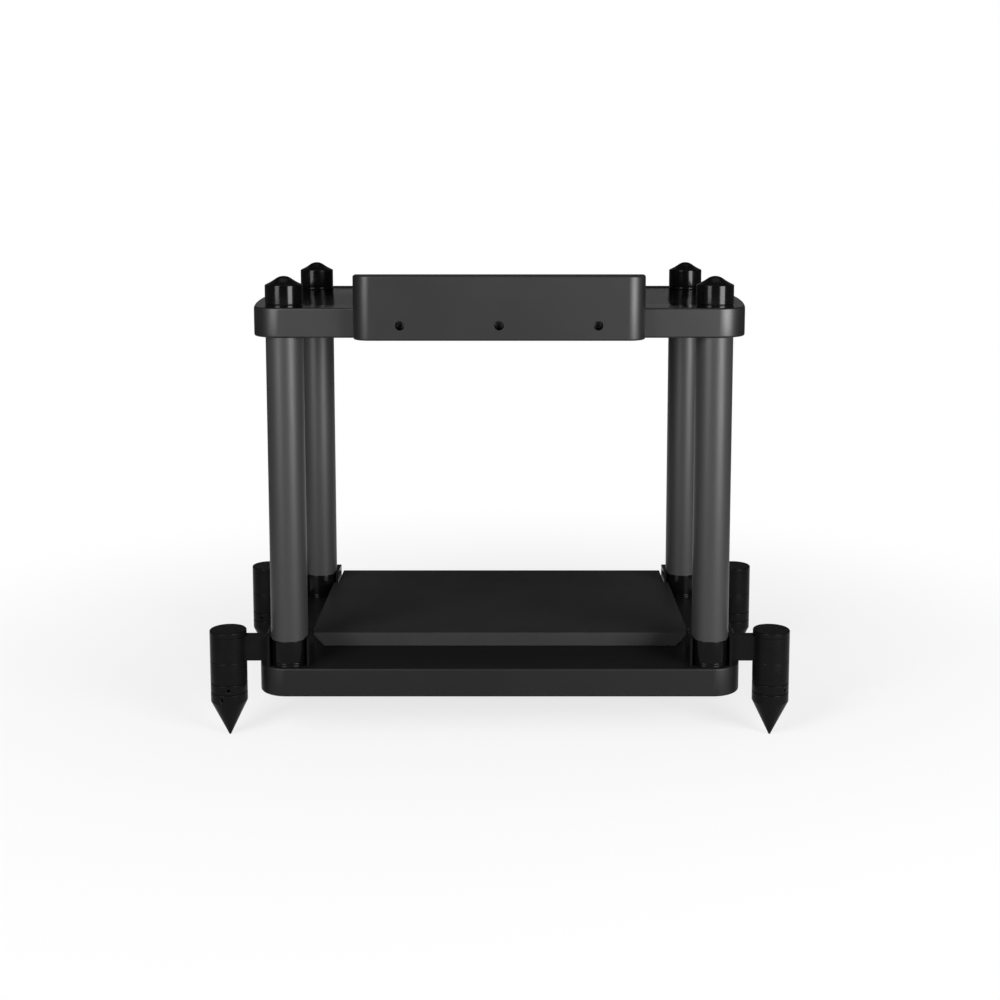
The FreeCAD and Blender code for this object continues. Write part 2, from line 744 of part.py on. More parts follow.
def rod_fasteners():
    bore = S.rod_diameter.value / 2
    washer = Part.makeCylinder(S.washer_diameter.value / 2, S.washer_thick.value).cut(
        Part.makeCylinder(bore + S.rod_clearance.value, S.washer_thick.value))
    seat = BASE_BOTTOM + S.nut_recess_depth - S.washer_thick
    group("rod_washers", [at(washer, x, y, seat) for x, y in CORNERS.values()])
    across_corners = S.nut_across_flats.value / math.sqrt(3)
    hexagon = Part.makePolygon([
        VECTOR(across_corners * math.cos(k * math.pi / 3), across_corners * math.sin(k * math.pi / 3), 0)
        for k in range(7)
    ])
    nut = Part.Face(hexagon).extrude(VECTOR(0, 0, S.nut_height.value)).cut(
        Part.makeCylinder(bore, S.nut_height.value))
    group("rod_nuts", [at(nut, x, y, seat - S.nut_height) for x, y in CORNERS.values()])


def clamp_fasteners():
    screw = socket_screw(
        S.clamp_screw_head.value / 2, S.clamp_screw_head_height.value, S.clamp_screw_diameter.value / 2,
        (S.yoke_spine + S.yoke_clearance + CLAMP_BITE).value, S.clamp_screw_socket.value,
        VECTOR(0, 1, 0))
    group("clamp_screws", [
        at(screw, x, y + YOKE_BACK, BASE_TOP + height)
        for x, y in CORNERS.values()
        for _, height in clamp_screw_places()
    ])


def guide_fasteners():
    """Headless screws from behind each sleeve; their ends run in the slots of the spikes' shanks."""
    inner = S.shank_diameter.value / 2 - S.guide_slot_depth.value + S.joint_gap.value
    outer = S.foot_diameter.value / 2 - S.guide_sink.value
    screw = Part.makeCylinder(S.guide_diameter.value / 2, outer - inner)
    screw.Placement = FreeCAD.Placement(VECTOR(0, 0, 0), FreeCAD.Rotation(UP, VECTOR(0, 1, 0)))
    group("guide_screws", [at(screw, x, y + inner, GUIDE_HEIGHT) for x, y in FEET.values()])


def shelf_fasteners():
    """Countersunk screws from under the base board into the shelf board."""
    head = S.shelf_screw_head.value / 2
    shank = S.shelf_screw_diameter.value / 2
    cone = Part.makeCone(head, shank, head)
    length = S.board_thick + S.shelf_screw_bite
    screw = cone.fuse(Part.makeCylinder(shank, length.value)).removeSplitter()
    group("shelf_screws", [at(screw, x, y, BASE_BOTTOM) for x, y in shelf_screw_places()])


# ---------------------------------------------------------------- build, check and write


def check_document():
    bad = [o.Name for o in doc.Objects if "Invalid" in o.State or "Error" in o.State]
    if bad:
        raise RuntimeError("failed objects: %s" % ", ".join(bad))
    for node in NODES:
        if node.Shape.isNull() or not node.Shape.isValid() or not node.Shape.Solids:
            raise RuntimeError("%s has no valid solid" % node.Label)


def main():
    make_sheet()
    top_board()
    base_board()
    shelf_board()
    front_block()
    for corner in CORNERS:
        post_tube(corner)
        post_collar(corner)
        tie_rod(corner)
        cap_nut(corner)
        outrigger(corner)
        foot_cap(corner)
        foot_sleeve(corner)
        jack_ring(corner)
        spike(corner)
    block_fasteners()
    rod_fasteners()
    clamp_fasteners()
    guide_fasteners()
    shelf_fasteners()
    doc.recompute()
    check_document()
    os.makedirs("parts", exist_ok=True)
    for node in NODES:
        node.Shape.exportStep("parts/%s.step" % node.Label)
        box = node.Shape.BoundBox
        print("%-26s solids %d volume %9.0f  x %7.1f %7.1f  y %7.1f %7.1f  z %6.1f %6.1f" % (
            node.Label, len(node.Shape.Solids), node.Shape.Volume,
            box.XMin, box.XMax, box.YMin, box.YMax, box.ZMin, box.ZMax))


main()
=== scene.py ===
# %% [markdown]
# # A two-level speaker stand
# The stand has two black lacquered boards on four tubular posts, a raised shelf on the lower board,
# a stop block across the front of the upper one, and four outrigger feet on adjustable spikes.
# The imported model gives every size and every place.
# What a model for making lacks is what light shows: eased edges, round walls that are truly round,
# and finishes that differ between lacquer, anodised tube and turned metal.
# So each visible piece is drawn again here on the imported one's measures, and stands in for it.

# %% Load the frame
import math

import bmesh
import bpy
import numpy as np
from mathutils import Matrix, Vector
from mathutils.geometry import delaunay_2d_cdt


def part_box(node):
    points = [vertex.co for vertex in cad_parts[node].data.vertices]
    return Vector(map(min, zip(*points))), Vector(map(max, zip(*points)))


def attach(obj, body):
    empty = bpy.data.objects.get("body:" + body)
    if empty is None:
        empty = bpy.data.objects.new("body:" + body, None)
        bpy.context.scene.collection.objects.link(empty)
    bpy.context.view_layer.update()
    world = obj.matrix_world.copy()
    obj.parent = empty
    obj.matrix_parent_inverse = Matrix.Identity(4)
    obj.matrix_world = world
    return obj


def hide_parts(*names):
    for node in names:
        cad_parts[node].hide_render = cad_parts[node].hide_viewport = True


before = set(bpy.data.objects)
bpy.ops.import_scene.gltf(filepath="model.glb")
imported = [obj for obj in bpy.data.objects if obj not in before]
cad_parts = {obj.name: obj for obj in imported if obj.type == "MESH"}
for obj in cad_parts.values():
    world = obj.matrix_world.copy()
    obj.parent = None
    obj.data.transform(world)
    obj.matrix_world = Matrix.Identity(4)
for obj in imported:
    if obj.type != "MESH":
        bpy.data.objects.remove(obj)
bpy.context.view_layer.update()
MM = 0.001
STAND = "stand"
CORNERS = ("front_left", "front_right", "rear_left", "rear_right")

# %% [markdown]
# ## Measures
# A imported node's box gives its lowest and highest corner.
# Round pieces need their axis and radius, which are half way between the corners and half the width.

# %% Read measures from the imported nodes
def span(node):
    """A node's lowest and highest corner as two arrays, in metres."""
    low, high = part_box(node)
    return np.array(low), np.array(high)


def axis_of(node):
    """Where a round node's upright axis stands, and its radius: the middle and half the width of its box."""
    low, high = span(node)
    return (low[:2] + high[:2]) / 2, float(high[0] - low[0]) / 2


POSTS = [axis_of(corner + "_post_tube")[0] for corner in CORNERS]
FEET = [axis_of(corner + "_foot_sleeve")[0] for corner in CORNERS]
for corner, post, foot in zip(CORNERS, POSTS, FEET):
    print(corner, "post at", post.round(4), "foot at", foot.round(4))

# %% [markdown]
# ## Finishes
# Almost everything is black, so the finishes are told apart by gloss, not by colour.
# Lacquer on board is satin, with the faint ripple that sprayed paint dries to.
# The posts are anodised tube: satin, and drawn lengthwise in fine lines.
# The collars and cap nuts are glossy black metal, and the brackets and the feet are satin.
# Both show the fine rings that a lathe leaves, and so do the blackened screws.
# A node tree gives each its ripple or rings; the overall gloss is set on the shader itself.

# %% A finish builder
EVEN = (1, 1, 1)


def new_finish(name, colour, roughness, specular=0.5, metallic=0.0):
    """A Principled material. Returns its node tree and shader for the detail that follows."""
    material = bpy.data.materials.new(name)
    material.use_nodes = True
    tree = material.node_tree
    shader = tree.nodes["Principled BSDF"]
    shader.inputs["Base Color"].default_value = (*colour, 1.0)
    shader.inputs["Roughness"].default_value = roughness
    shader.inputs["Metallic"].default_value = metallic
    shader.inputs["Specular IOR Level"].default_value = specular
    return material, tree, shader


def object_noise(tree, stretch, scale, detail=3.0):
    """Noise on Object coordinates in metres, stretched along an axis where stretch is small."""
    place = tree.nodes.new("ShaderNodeTexCoord")
    mapping = tree.nodes.new("ShaderNodeMapping")
    mapping.inputs["Scale"].default_value = stretch
    noise = tree.nodes.new("ShaderNodeTexNoise")
    noise.inputs["Scale"].default_value = scale
    noise.inputs["Detail"].default_value = detail
    tree.links.new(place.outputs["Object"], mapping.inputs["Vector"])
    tree.links.new(mapping.outputs["Vector"], noise.inputs["Vector"])
    return noise.outputs["Fac"]


def spread(tree, value, low, high):
    """Maps noise from its usual 0.3 to 0.7 to the range low to high."""
    ramp = tree.nodes.new("ShaderNodeMapRange")
    ramp.inputs["From Min"].default_value = 0.3
    ramp.inputs["From Max"].default_value = 0.7
    ramp.inputs["To Min"].default_value = low
    ramp.inputs["To Max"].default_value = high
    tree.links.new(value, ramp.inputs["Value"])
    return ramp.outputs["Result"]


def relief(tree, shader, value, depth, strength):
    """Bump of that depth in metres on the shader, from a 0 to 1 value."""
    bump = tree.nodes.new("ShaderNodeBump")
    bump.inputs["Distance"].default_value = depth
    bump.inputs["Strength"].default_value = strength
    tree.links.new(value, bump.inputs["Height"])
    tree.links.new(bump.outputs["Normal"], shader.inputs["Normal"])


def tint(tree, shader, value, dark, light):
    """Base colour between two close tones, by a 0 to 1 value."""
    mix = tree.nodes.new("ShaderNodeMix")
    mix.data_type = "RGBA"
    mix.inputs[6].default_value = (*dark, 1.0)
    mix.inputs[7].default_value = (*light, 1.0)
    tree.links.new(value, mix.inputs[0])
    tree.links.new(mix.outputs[2], shader.inputs["Base Color"])


# %% Lacquered board
def lacquer(name, tone, roughness, specular):
    """Sprayed black: a slow cloudiness in the gloss, a mottled tone, and a ripple a millimetre across."""
    material, tree, shader = new_finish(name, (tone, tone, tone * 1.03), roughness, specular)
    cloud = object_noise(tree, EVEN, 9.0, 2.0)
    tree.links.new(spread(tree, cloud, roughness - 0.03, roughness + 0.04), shader.inputs["Roughness"])
    mottle = object_noise(tree, EVEN, 45.0, 4.0)
    tint(tree, shader, mottle, (tone * 0.88,) * 3, (tone * 1.12, tone * 1.12, tone * 1.16))
    ripple = object_noise(tree, EVEN, 900.0, 2.0)
    relief(tree, shader, ripple, depth=0.00003, strength=0.35)
    return material


top_lacquer = lacquer("top_board_lacquer", tone=0.002, roughness=0.43, specular=0.28)
top_face_lacquer = lacquer("top_face_lacquer", tone=0.002, roughness=0.13, specular=0.25)
block_lacquer = lacquer("block_lacquer", tone=0.003, roughness=0.44, specular=0.235)
base_lacquer = lacquer("base_board_lacquer", tone=0.002, roughness=0.47, specular=0.14)
shelf_lacquer = lacquer("shelf_lacquer", tone=0.009, roughness=0.4, specular=0.07)
# the shelf's sloping edges: the same lacquer made lighter, as painted light where they catch the lamps
shelf_edge_painted_light = lacquer("shelf_edge_painted_light", tone=0.021, roughness=0.42, specular=0.08)
print("lacquers", len(bpy.data.materials))

# %% Metals
def drawn_tube(name):
    """Anodised tube: fine lines along its length, from noise stretched along Z."""
    tone, dark, light = (0.0135,) * 3, (0.0125,) * 3, (0.0145,) * 3
    material, tree, shader = new_finish(name, tone, roughness=0.44, specular=0.17)
    lines = object_noise(tree, (1, 1, 0.02), 1400.0, 2.0)
    tree.links.new(spread(tree, lines, 0.4, 0.48), shader.inputs["Roughness"])
    tint(tree, shader, object_noise(tree, (1, 1, 0.3), 60.0), dark, light)
    relief(tree, shader, lines, depth=0.00002, strength=0.4)
    return material


def turned_metal(name, tone, roughness, specular):
    """Turned metal: rings round the axis, from noise that is drawn out a hundred times across Z."""
    material, tree, shader = new_finish(name, (tone, tone, tone), roughness, specular)
    rings = object_noise(tree, (0.01, 0.01, 1), 2600.0, 2.0)
    smudge = object_noise(tree, EVEN, 70.0)
    tree.links.new(spread(tree, smudge, roughness - 0.02, roughness + 0.04), shader.inputs["Roughness"])
    tint(tree, shader, smudge, (tone * 0.85,) * 3, (tone * 1.2,) * 3)
    relief(tree, shader, rings, depth=0.00002, strength=0.3)
    return material


def plated(name, colour, roughness):
    """Plated steel or brass: true metal with a little cloudiness."""
    material, tree, shader = new_finish(name, colour, roughness, metallic=1.0)
    cloud = object_noise(tree, EVEN, 260.0)
    tree.links.new(spread(tree, cloud, roughness - 0.08, roughness + 0.1), shader.inputs["Roughness"])
    tint(tree, shader, cloud, tuple(c * 0.9 for c in colour), colour)
    return material


post_satin = drawn_tube("post_anodised")
gloss_metal = turned_metal("gloss_black_metal", tone=0.001, roughness=0.15, specular=0.09)
satin_metal = turned_metal("satin_black_metal", tone=0.0022, roughness=0.25, specular=0.035)
screw_black = turned_metal("black_oxide", tone=0.015, roughness=0.4, specular=0.5)
zinc = plated("zinc_plate", colour=(0.58, 0.58, 0.6), roughness=0.35)
brass = plated("insert_brass", colour=(0.72, 0.55, 0.26), roughness=0.3)
print("finishes", len(bpy.data.materials))

# %% [markdown]
# ## From numbers to pieces
# Every piece here is a stack of rings. A board is its outline, drawn in a little at the top and bottom
# where the edge is eased. A turned piece is a circle whose radius follows a profile.
# The rings become one mesh: four-sided faces between neighbours, and a flat face or a point at each end.
# A piece with a bore through it has no ends: its last ring joins its first.
# Sharp edges are marked by angle, so that a round wall shades as round and its rim stays crisp.

# %% Turn a stack of rings into a piece
SAME_PLACE = 1e-7
SHORTEST_EDGE = 1e-8
SMOOTH_UP_TO = math.radians(32)
LARGE_FLAT = 0.0001
DEAD_ON = 0.99999


def stack_mesh(rings, hollow=False):
    """Vertices and faces of a closed stack. rings is an array (levels, around, 3), each ring running
    anticlockwise seen from above, the lowest ring first. A ring of no size becomes a point.
    In a hollow stack the last ring joins the first, so the stack is a tube with no ends."""
    levels, around, _ = rings.shape
    points = rings.reshape(-1, 3)
    i = np.arange(around)
    j = (i + 1) % around
    faces = []
    for level in range(levels if hollow else levels - 1):
        a, b = level * around, (level + 1) % levels * around
        faces.append(np.stack([a + i, a + j, b + j, b + i], 1))
    faces = [list(map(int, face)) for face in np.concatenate(faces)]
    ends = [] if hollow else [(0, False), (levels - 1, True)]
    for level, upward in ends:
        if np.ptp(rings[level], axis=0).max() > SAME_PLACE:
            loop = [level * around + int(k) for k in i]
            faces.append(loop if upward else loop[::-1])
    return points, faces


def shade(piece):
    """Smooth shading up to an angle. Large flats, in square metres, keep their own normal out to the rim,
    and the rounded edge beside them starts from it, so their reflections stay straight."""
    mesh = piece.data
    mesh.polygons.foreach_set("use_smooth", np.ones(len(mesh.polygons), bool))
    mesh.set_sharp_from_angle(angle=SMOOTH_UP_TO)
    facing = np.array([face.normal for face in mesh.polygons])
    area = np.array([face.area for face in mesh.polygons])
    vertex_of = np.array([loop.vertex_index for loop in mesh.loops])
    face_of = np.repeat(np.arange(len(area)), [face.loop_total for face in mesh.polygons])
    normals = np.zeros((len(vertex_of), 3))
    for direction in ((0, 0, 1), (0, 0, -1), (0, 1, 0), (0, -1, 0)):
        along = facing @ np.array(direction, float)
        flat = along > DEAD_ON
        if area[flat].sum() > LARGE_FLAT:
            on_flat = np.zeros(len(mesh.vertices), bool)
            on_flat[vertex_of[flat[face_of]]] = True
            normals[on_flat[vertex_of] & (along[face_of] > math.cos(SMOOTH_UP_TO))] = direction
    mesh.normals_split_custom_set(normals)


def make_piece(name, points, faces, material, slot, body):
    """A mesh object at the origin, its doubled points merged, riding on a body."""
    mesh = bpy.data.meshes.new(name)
    mesh.from_pydata([tuple(p) for p in np.asarray(points, float)], [], faces)
    work = bmesh.new()
    work.from_mesh(mesh)
    bmesh.ops.remove_doubles(work, verts=work.verts, dist=SAME_PLACE)
    bmesh.ops.dissolve_degenerate(work, edges=work.edges, dist=SHORTEST_EDGE)
    work.to_mesh(mesh)
    work.free()
    piece = bpy.data.objects.new(name, mesh)
    bpy.context.scene.collection.objects.link(piece)
    mesh.materials.append(material)
    shade(piece)
    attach(piece, body)
    return piece


def join_meshes(parts):
    """Points and faces of several meshes as one."""
    points, faces, count = [], [], 0
    for some_points, some_faces in parts:
        points.append(some_points)
        faces += [[index + count for index in face] for face in some_faces]
        count += len(some_points)
    return np.concatenate(points), faces


def eased(profile, radius, steps=4):
    """A profile of (across, up) pairs with each inner corner replaced by a short arc-like curve.
    The curve runs between points at most radius from the corner, on a quadratic through the corner's side.
    It takes less than half of each edge, so the curves of two corners never meet."""
    profile = np.asarray(profile, float)
    share = 0.45
    out = [profile[0]]
    for before, corner, after in zip(profile[:-2], profile[1:-1], profile[2:]):
        to_before, to_after = before - corner, after - corner
        reach = min(radius, share * np.hypot(*to_before), share * np.hypot(*to_after))
        start = corner + to_before / np.hypot(*to_before) * reach
        end = corner + to_after / np.hypot(*to_after) * reach
        t = np.linspace(0, 1, steps + 1)[:, None]
        out.extend((1 - t) ** 2 * start + 2 * t * (1 - t) * corner + t ** 2 * end)
    out.append(profile[-1])
    return np.array(out)


def turned(profile, centre, around=128):
    """Rings of a turned piece, from a profile of (r, z) pairs: x = cx + r cos a, y = cy + r sin a."""
    angle = np.linspace(0, 2 * np.pi, around, endpoint=False)
    r, z = np.asarray(profile, float).T
    rings = np.empty((len(r), around, 3))
    rings[..., 0] = centre[0] + r[:, None] * np.cos(angle)
    rings[..., 1] = centre[1] + r[:, None] * np.sin(angle)
    rings[..., 2] = z[:, None]
    return rings


# %% [markdown]
# ## The boards
# Seen from above, a board has straight front and rear edges and ends that bow out 15 mm on a large arc,
# with a 30 mm radius where they meet. The outline is sampled as corners and arcs, densest in the corners.
# The rings step in by the shape of a quarter circle at the lower and upper edge, which eases them by 2 mm.

# %% Bowed boards
def bowed_outline(low, high, bow, corner, steps=14, side_steps=40):
    """The board's outline from above, anticlockwise, with outward normals.
    The end's arc has radius (h^2 + b^2) / 2b for half depth h and bow b. The corner's circle touches the
    front line and that arc from inside, so its centre is R - r from the arc's centre and r from the line."""
    middle = (low[:2] + high[:2]) / 2
    half_width, half_depth = (high[:2] - low[:2]) / 2
    arc = (half_depth ** 2 + bow ** 2) / (2 * bow)
    centre_x = half_width - arc
    corner_y = half_depth - corner
    corner_x = centre_x + math.sqrt((arc - corner) ** 2 - corner_y ** 2)
    meet = math.atan2(corner_y, corner_x - centre_x)
    turn = np.linspace(-np.pi / 2, -meet, steps)
    side = np.linspace(-meet, meet, side_steps)[1:-1]
    rise = np.linspace(meet, np.pi / 2, steps)
    angles = np.concatenate([turn, side, rise])
    base = np.concatenate([
        np.tile([corner_x, -corner_y], (steps, 1)),
        np.tile([centre_x, 0.0], (side_steps - 2, 1)),
        np.tile([corner_x, corner_y], (steps, 1)),
    ])
    radius = np.concatenate([np.full(steps, corner), np.full(side_steps - 2, arc), np.full(steps, corner)])
    normals = np.stack([np.cos(angles), np.sin(angles)], 1)
    right = base + normals * radius[:, None]
    points = np.concatenate([right, -right])
    return points + middle, np.concatenate([normals, -normals])


def slab_rings(points, normals, low_z, high_z, ease, steps=6):
    """Rings of a slab whose upper and lower edges are quarter circles of radius ease."""
    t = np.linspace(0, np.pi / 2, steps)
    inset = np.concatenate([ease * (1 - np.sin(t)), ease * (1 - np.cos(t))])
    z = np.concatenate([low_z + ease * (1 - np.cos(t)), high_z - ease * (1 - np.sin(t))])
    rings = np.empty((len(inset), len(points), 3))
    rings[..., :2] = points[None] - normals[None] * inset[:, None, None]
    rings[..., 2] = z[:, None]
    return rings


def cap_with_holes(ring, holes, upward):
    """Triangles that fill a flat ring but leave round holes open. holes are rings in the same plane.
    The corners are joined by a constrained Delaunay triangulation, and triangles inside a hole dropped."""
    loops = [ring] + list(holes)
    edges, start = [], 0
    for loop in loops:
        n = len(loop)
        edges += [(start + k, start + (k + 1) % n) for k in range(n)]
        start += n
    flat = [Vector(p[:2]) for p in np.concatenate(loops)]
    inside_only, nearest = 1, 1e-9
    found, _, triangles, _, _, _ = delaunay_2d_cdt(flat, edges, [], inside_only, nearest)
    middles = np.array([np.mean([found[k] for k in t], axis=0) for t in triangles])
    keep = np.ones(len(triangles), bool)
    for hole in holes:
        centre = hole[:, :2].mean(0)
        reach = np.hypot(*(hole[0, :2] - centre))
        keep &= np.hypot(*(middles - centre).T) > reach * 0.98
    turn = 1 if upward else -1
    faces = [list(t)[::turn] for t, k in zip(triangles, keep) if k]
    return np.array([(p[0], p[1], ring[0, 2]) for p in found]), faces


def circle(centre, radius, z, around=64):
    """A level ring of points: x = cx + r cos a, y = cy + r sin a."""
    angle = np.linspace(0, 2 * np.pi, around, endpoint=False)
    x = centre[0] + radius * np.cos(angle)
    y = centre[1] + radius * np.sin(angle)
    return np.stack([x, y, np.full(around, z)], 1)


def well(centre, radius, mouth_z, floor_z, around=64):
    """Wall and floor of a blind hole that opens at mouth_z, facing into the hole. Rings that run downwards
    already face inwards, and those that run upwards are turned round. The mouth itself is left open."""
    rings = np.stack([circle(centre, radius, mouth_z, around), circle(centre, radius, floor_z, around)])
    points, faces = stack_mesh(rings)
    turn = -1 if floor_z > mouth_z else 1
    return points, [face[::turn] for face in faces if not all(k < around for k in face)]


def board(node, material, wells, upward):
    """A board that stands in for a node. wells are (centre, radius, depth), in its upper or lower face."""
    low, high = span(node)
    points, normals = bowed_outline(low, high, BOW, CORNER_RADIUS)
    rings = slab_rings(points, normals, low[2], high[2], EDGE)
    body_points, body_faces = stack_mesh(rings)
    del body_faces[-1 if upward else -2]  # the last two faces are the lower end and the upper one
    face_z, end_ring, inward = (high[2], rings[-1], -1) if upward else (low[2], rings[0], 1)
    holes = [circle(centre, radius, face_z) for centre, radius, _ in wells]
    parts = [(body_points, body_faces), cap_with_holes(end_ring, holes, upward)]
    parts += [well(centre, radius, face_z, face_z + inward * depth) for centre, radius, depth in wells]
    points, faces = join_meshes(parts)
    panel = make_piece(node.replace("_board", "_panel"), points, faces, material, "lacquered_board", STAND)
    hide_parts(node)
    print(panel.name, "faces", len(panel.data.polygons))
    return panel


def inside_corners(node, radius):
    """Where four round pieces of that radius stand whose outsides touch the corners of their common box."""
    low, high = span(node)
    return [(x, y) for x in (low[0] + radius, high[0] - radius) for y in (low[1] + radius, high[1] - radius)]


BOW, CORNER_RADIUS, EDGE = 15 * MM, 30 * MM, 2 * MM
SEAT_RADIUS, SEAT_DEPTH = 19.25 * MM, 0.5 * MM
NUT_WELL_RADIUS, NUT_WELL_DEPTH = 11 * MM, 14 * MM
SINK = 4 * MM  # radius and depth of a shelf screw's sunk head

# the upper face is spot-faced where each cap nut sits, and rubbed down to a clearer gloss
seats = [(centre, SEAT_RADIUS, SEAT_DEPTH) for centre in POSTS]
top_panel = board("top_board", top_lacquer, seats, upward=True)
top_panel.data.materials.append(top_face_lacquer)
for face in top_panel.data.polygons:
    face.material_index = int(face.normal.z > 0.9999)

# the underside has a well for each rod nut and one for each shelf screw's head
wells = [(centre, NUT_WELL_RADIUS, NUT_WELL_DEPTH) for centre in POSTS]
wells += [(place, SINK, SINK) for place in inside_corners("shelf_screws", SINK)]
board("base_board", base_lacquer, wells, upward=False)

# %% [markdown]
# ## The shelf
# The raised board slopes in underneath along its front and both ends, and the slopes meet in mitres.
# Its top and bottom outlines have the same corners, so two rings of eight corners draw it.
# The rear corners step in to pass the brackets. A bevel modifier eases the edges afterwards.

# %% Undercut shelf
UNDERCUT = 11.5 * MM
NOTCH_X = 0.1955
NOTCH_BEFORE_POST = 13.75 * MM
SLIVER = 0.05 * MM


def shelf_outline(inset, z):
    """The shelf's outline at one height, drawn in by inset at the front and both ends, anticlockwise.
    Where the undercut goes past the notch, a sliver of the notch stays, so each height has eight corners."""
    side, front = high[0] - inset, low[1] + inset
    step = min(side - SLIVER, NOTCH_X)
    right = [(side, front), (side, notch_y), (step, notch_y), (step, high[1])]
    left = [(-x, y) for x, y in reversed(right)]
    return np.array([(x, y, z) for x, y in right + left])


def bevel(piece, width, segments=3, angle=30):
    """A bevel modifier on edges sharper than the angle; its normals keep the flats flat."""
    ease = piece.modifiers.new("eased_edges", "BEVEL")
    ease.width, ease.segments = width, segments
    ease.limit_method, ease.angle_limit = "ANGLE", math.radians(angle)
    ease.harden_normals = True


low, high = span("shelf_board")
notch_y = float(POSTS[CORNERS.index("rear_right")][1]) - NOTCH_BEFORE_POST
shelf_rings = np.stack([shelf_outline(UNDERCUT, low[2]), shelf_outline(0.0, high[2])])
shelf_points, shelf_faces = stack_mesh(shelf_rings)
shelf = make_piece("shelf_panel", shelf_points, shelf_faces, shelf_lacquer, "lacquered_board", STAND)
shelf.data.materials.append(shelf_edge_painted_light)
for face in shelf.data.polygons:
    face.material_index = int(abs(face.normal.z) < 0.9)  # the sloping edges and sides take a lighter copy of the lacquer, painted light for the lamplight they seem to catch
bevel(shelf, 0.5 * MM)
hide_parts("shelf_board")
print("shelf faces", len(shelf.data.polygons))

# %% [markdown]
# ## The stop block
# The block is a slab too: straight behind, with its two front corners rounded 18 mm in plan.
# Its three deep screw holes are cut by a boolean, the way they would be drilled.

# %% Stop block
def boolean(piece, points, faces, operation):
    """One exact boolean against a closed mesh, kept as the piece's own mesh."""
    mesh = bpy.data.meshes.new("tool")
    mesh.from_pydata([tuple(p) for p in points], [], faces)
    tool = bpy.data.objects.new("tool", mesh)
    bpy.context.scene.collection.objects.link(tool)
    step = piece.modifiers.new("cut", "BOOLEAN")
    step.object, step.operation, step.solver = tool, operation, "EXACT"
    bpy.context.view_layer.update()
    result = bpy.data.meshes.new_from_object(piece.evaluated_get(bpy.context.evaluated_depsgraph_get()))
    piece.modifiers.clear()
    old = piece.data
    piece.data = result
    bpy.data.meshes.remove(old)
    bpy.data.objects.remove(tool)
    bpy.data.meshes.remove(mesh)


def drill(piece, cutters):
    """Cuts closed meshes out of a piece."""
    for points, faces in cutters:
        boolean(piece, points, faces, "DIFFERENCE")
    shade(piece)


def bar_mesh(start, direction, radius, length, around=48):
    """A closed round bar from start along a level direction."""
    rings = turned([(radius, 0.0), (radius, length)], (0.0, 0.0), around)
    across = Vector(direction).normalized()
    turn = np.array(Vector((0, 0, 1)).rotation_difference(across).to_matrix())
    return stack_mesh(rings @ turn.T + np.asarray(start))


BLOCK_HALF, BLOCK_FRONT, BLOCK_BACK, BLOCK_CORNER = 0.145, -0.174, -0.146, 18 * MM
HOLE_RADIUS, HOLE_HEIGHT, HOLE_X = 4.7 * MM, 15 * MM, 0.0975
DRILL_BEFORE, DRILL_LENGTH = 4 * MM, 20 * MM

low, high = span("front_block")
t = np.linspace(-np.pi / 2, 0, 16)
corner_x = BLOCK_HALF - BLOCK_CORNER + BLOCK_CORNER * np.cos(t)
corner_y = BLOCK_FRONT + BLOCK_CORNER + BLOCK_CORNER * np.sin(t)
right = np.concatenate([np.stack([corner_x, corner_y], 1), [(BLOCK_HALF, BLOCK_BACK)]])
right_normals = np.concatenate([np.stack([np.cos(t), np.sin(t)], 1), [(1.0, 1.0)]])
points = np.concatenate([right, right[::-1] * (-1, 1)])
normals = np.concatenate([right_normals, right_normals[::-1] * (-1, 1)])
block_points, block_faces = stack_mesh(slab_rings(points, normals, low[2], high[2], EDGE))
block = make_piece("stop_block", block_points, block_faces, block_lacquer, "lacquered_board", STAND)
starts = [(x, BLOCK_FRONT - DRILL_BEFORE, low[2] + HOLE_HEIGHT) for x in (-HOLE_X, 0.0, HOLE_X)]
drill(block, [bar_mesh(start, (0, 1, 0), HOLE_RADIUS, DRILL_LENGTH) for start in starts])
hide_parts("front_block")
print("block faces", len(block.data.polygons))

# %% [markdown]
# ## Posts, collars and cap nuts
# These are turned or drawn round stock, so each is a profile swept round its axis.
# Short curves at the profile's corners catch a thin line of light, as real machined edges do.

# %% Turned pieces on the four posts
ROD_RADIUS, ROD_BORE = 4 * MM, 4.3 * MM
TUBE_WALL = 3 * MM
COLLAR_HEIGHT, CAP_HEIGHT = 27.5 * MM, 31.5 * MM


def turned_piece(name, node, profile, material, slot, body=STAND, ease=0.35 * MM, around=128):
    """A turned piece that stands in for a node. The profile is in (radius, height) from the node's bottom.
    A profile that starts and ends off the axis is closed on itself: the piece has a bore through it."""
    centre, _ = axis_of(node)
    low, _ = span(node)
    profile = np.asarray(profile, float)
    hollow = profile[0, 0] > 0 and profile[-1, 0] > 0
    if hollow:
        profile = eased(np.concatenate([profile[-1:], profile, profile[:1]]), ease)[1:-1]
    else:
        profile = eased(profile, ease)
    points, faces = stack_mesh(turned(profile + (0.0, float(low[2])), centre, around), hollow)
    piece = make_piece(name, points, faces, material, slot, body)
    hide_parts(node)
    return piece


def collar_profile(radius, height):
    """Two fine grooves near the foot of a plain round collar, with the rod's bore through it."""
    land, groove, depth = 1.5 * MM, 1.0 * MM, 0.6 * MM
    out = [(ROD_BORE, 0), (radius, 0)]
    z = land
    for _ in range(2):
        out += [(radius, z), (radius - depth, z), (radius - depth, z + groove), (radius, z + groove)]
        z += groove + land
    return out + [(radius, height), (ROD_BORE, height)]


